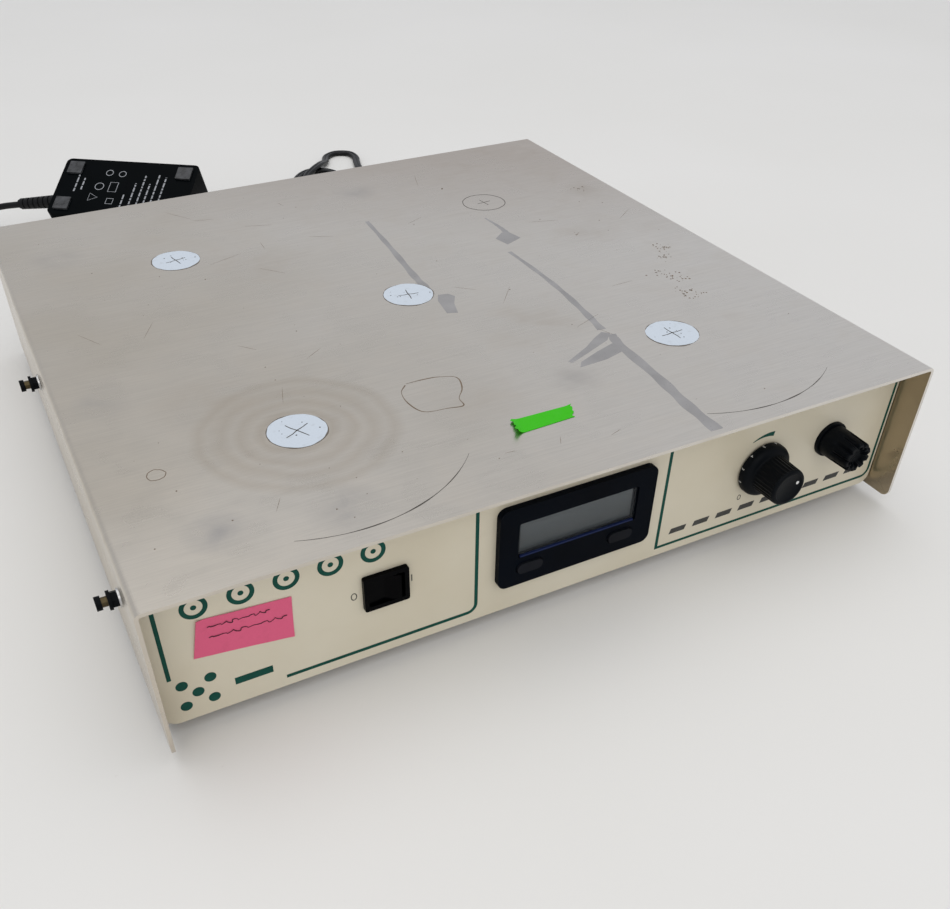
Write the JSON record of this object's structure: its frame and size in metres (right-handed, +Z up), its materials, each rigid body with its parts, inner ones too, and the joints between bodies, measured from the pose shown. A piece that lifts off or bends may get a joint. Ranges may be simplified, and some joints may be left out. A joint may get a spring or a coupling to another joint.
{
  "type": "multi-position magnetic stirrer",
  "caption": "Low square laboratory magnetic stirrer with a folded steel cover, a front control panel, belt-driven magnets inside and a separate power supply on leads.",
  "frame": {"origin": "middle of the stirrer's own box at the height of its feet, without the power supply and its leads", "axes": "+Z up, -Y out of the control panel, +X to the right of a person who faces the panel"},
  "size_m": [0.4129, 0.6139, 0.0762],
  "materials": {
    "brushed_cover": "brushed",
    "chassis_sheet": "satin",
    "cream_paint": "satin",
    "foot_rubber": "matte",
    "zinc_screw": "bright zinc",
    "black_plastic": "moulded",
    "black_gloss": "smooth",
    "meter_plastic": "fine texture",
    "meter_glass": "clear",
    "display_grey": "reflective display",
    "button_rubber": "matte",
    "brass": "threaded",
    "turned_steel": "turned",
    "aluminium": "satin",
    "magnet_metal": "nickel plate",
    "motor_paint": "satin",
    "belt_rubber": "matte",
    "green_board": "solder mask",
    "board_black": "moulded",
    "fuse_glass": "clear",
    "lead_jacket": "satin"
  },
  "bodies": {
    "stirrer": {"top_cover": "brushed_cover", "chassis_pan": "chassis_sheet", "front_panel": "cream_paint", "rubber_feet": "foot_rubber", "foot_screws": "zinc_screw", "side_brackets": "chassis_sheet", "side_studs": "brass", "side_thumb_nuts": "black_plastic", "side_washers": "zinc_screw", "switch_body": "black_gloss", "meter_case": "meter_plastic", "meter_window": "meter_glass", "meter_display": "display_grey", "pot_body": "turned_steel", "pot_nut": "zinc_screw", "fuse_holder": "black_plastic", "fuse_nut": "black_plastic", "drive_deck": "aluminium", "deck_standoffs": "turned_steel", "deck_screws": "zinc_screw", "bearing_housings": "aluminium", "ball_bearings": "turned_steel", "motor_can": "motor_paint", "motor_belt": "belt_rubber", "cross_belt": "belt_rubber", "corner_belt": "belt_rubber", "control_board": "green_board", "board_parts": "board_black", "dc_jack": "black_plastic", "supply_case": "black_plastic", "supply_feet": "foot_rubber", "supply_relief": "lead_jacket", "dc_lead": "lead_jacket", "dc_coil": "lead_jacket", "dc_plug": "black_plastic", "mains_connector": "black_plastic", "mains_lead": "lead_jacket", "mains_coil": "lead_jacket", "mains_plug": "black_plastic"},
    "rocker": {"power_rocker": "black_gloss"},
    "left_button": {"meter_button_left": "button_rubber"},
    "right_button": {"meter_button_right": "button_rubber"},
    "knob": {"speed_knob": "black_plastic", "pot_shaft": "turned_steel"},
    "fuse_carrier": {"fuse_link": "fuse_glass"},
    "fuse_twist_cap": {"fuse_cap": "black_plastic"},
    "rotor_centre": {"spindle_centre": "turned_steel", "magnet_centre": "magnet_metal"},
    "rotor_front_left": {"spindle_front_left": "turned_steel", "magnet_front_left": "magnet_metal"},
    "rotor_front_right": {"spindle_front_right": "turned_steel", "magnet_front_right": "magnet_metal"},
    "rotor_rear_left": {"spindle_rear_left": "turned_steel", "magnet_rear_left": "magnet_metal"},
    "rotor_rear_right": {"spindle_rear_right": "turned_steel", "magnet_rear_right": "magnet_metal"},
    "motor_rotor": {"motor_shaft": "turned_steel", "motor_pulley": "aluminium"}
  },
  "joints": [
    {"name": "power_rock", "type": "hinge", "parent": "stirrer", "child": "rocker", "pos_m": [-0.085, -0.1585, 0.0408], "axis": [0, 0, 1], "range_deg": [0, 18]},
    {"name": "left_button_press", "type": "slide", "parent": "stirrer", "child": "left_button", "axis": [0, 1, 0], "range_m": [0, 0.0008], "stiffness_N_per_m": 300, "springref_m": -0.002},
    {"name": "right_button_press", "type": "slide", "parent": "stirrer", "child": "right_button", "axis": [0, 1, 0], "range_m": [0, 0.0008], "stiffness_N_per_m": 300, "springref_m": -0.002},
    {"name": "knob_turn", "type": "hinge", "parent": "stirrer", "child": "knob", "pos_m": [0.1, -0.17, 0.0388], "axis": [0, -1, 0], "range_deg": [-91, 209]},
    {"name": "fuse_pull", "type": "slide", "parent": "stirrer", "child": "fuse_carrier", "axis": [0, -1, 0], "range_m": [0, 0.03]},
    {"name": "fuse_twist", "type": "hinge", "parent": "fuse_carrier", "child": "fuse_twist_cap", "pos_m": [0.1396, -0.17, 0.0424], "axis": [0, -1, 0], "range_deg": [0, 90]},
    {"name": "centre_spin", "type": "hinge", "parent": "stirrer", "child": "rotor_centre", "pos_m": [0, -0.003, 0.05], "axis": [0, 0, 1], "continuous": true},
    {"name": "front_left_spin", "type": "hinge", "parent": "stirrer", "child": "rotor_front_left", "pos_m": [-0.093, -0.096, 0.05], "axis": [0, 0, 1], "continuous": true},
    {"name": "front_right_spin", "type": "hinge", "parent": "stirrer", "child": "rotor_front_right", "pos_m": [0.093, -0.096, 0.05], "axis": [0, 0, 1], "continuous": true},
    {"name": "rear_left_spin", "type": "hinge", "parent": "stirrer", "child": "rotor_rear_left", "pos_m": [-0.093, 0.09, 0.05], "axis": [0, 0, 1], "continuous": true},
    {"name": "rear_right_spin", "type": "hinge", "parent": "stirrer", "child": "rotor_rear_right", "pos_m": [0.093, 0.09, 0.05], "axis": [0, 0, 1], "continuous": true},
    {"name": "motor_spin", "type": "hinge", "parent": "stirrer", "child": "motor_rotor", "pos_m": [-0.048, -0.003, 0.03], "axis": [0, 0, 1], "continuous": true}
  ],
  "couplings": [
    {"joint": "front_left_spin", "follows": "centre_spin", "ratio": 1},
    {"joint": "front_right_spin", "follows": "centre_spin", "ratio": 1},
    {"joint": "rear_left_spin", "follows": "centre_spin", "ratio": 1},
    {"joint": "rear_right_spin", "follows": "centre_spin", "ratio": 1},
    {"joint": "motor_spin", "follows": "centre_spin", "ratio": 1.5}
  ]
}
